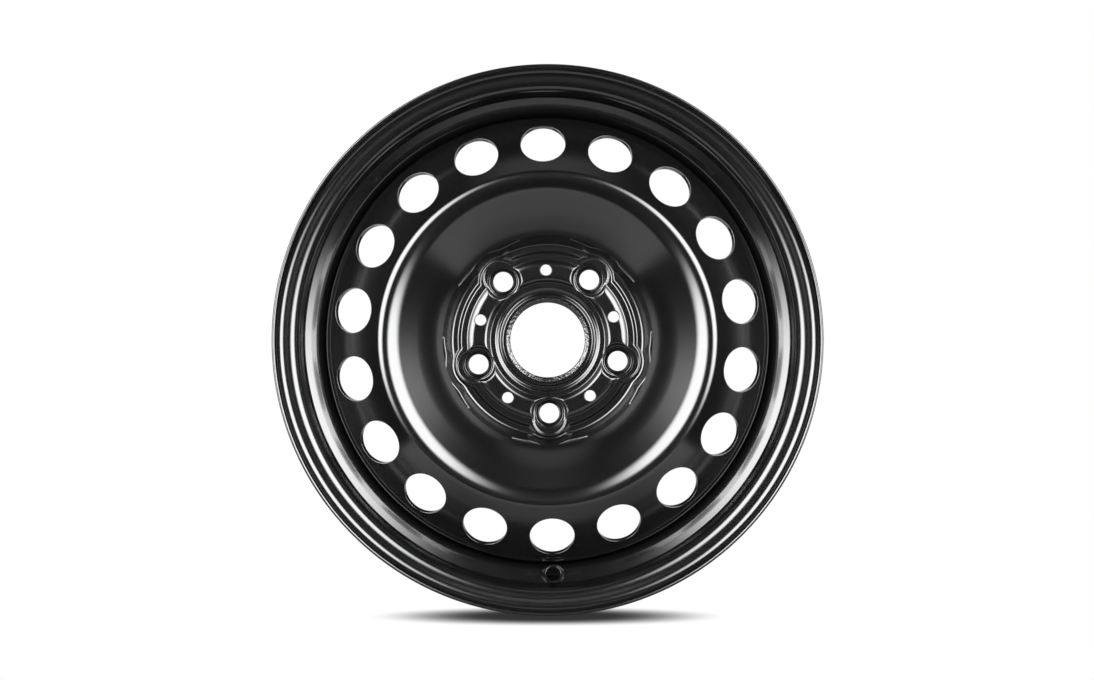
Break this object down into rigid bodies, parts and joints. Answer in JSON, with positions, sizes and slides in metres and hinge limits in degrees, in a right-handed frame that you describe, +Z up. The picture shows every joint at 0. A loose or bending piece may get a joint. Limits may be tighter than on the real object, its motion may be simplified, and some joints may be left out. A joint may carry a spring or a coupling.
{
  "type": "steel car wheel",
  "caption": "Black painted pressed-steel car wheel: a drop-centre rim welded to a dished disc with a ring of round vents, ball-seat bolt holes and a centre bore.",
  "frame": {"origin": "on the wheel axis, midway between the two rim flanges", "axes": "+Y along the wheel axis towards the car, -Y is the outer side seen in use, +Z up with the wheel standing on its rim, valve hole at the bottom"},
  "size_m": [0.4147, 0.1774, 0.4148],
  "materials": {
    "black_paint": "semi-gloss black paint with a fine grain"
  },
  "bodies": {
    "root": {"rim": "black_paint", "disc": "black_paint", "weld_beads": "black_paint"}
  },
  "joints": []
}
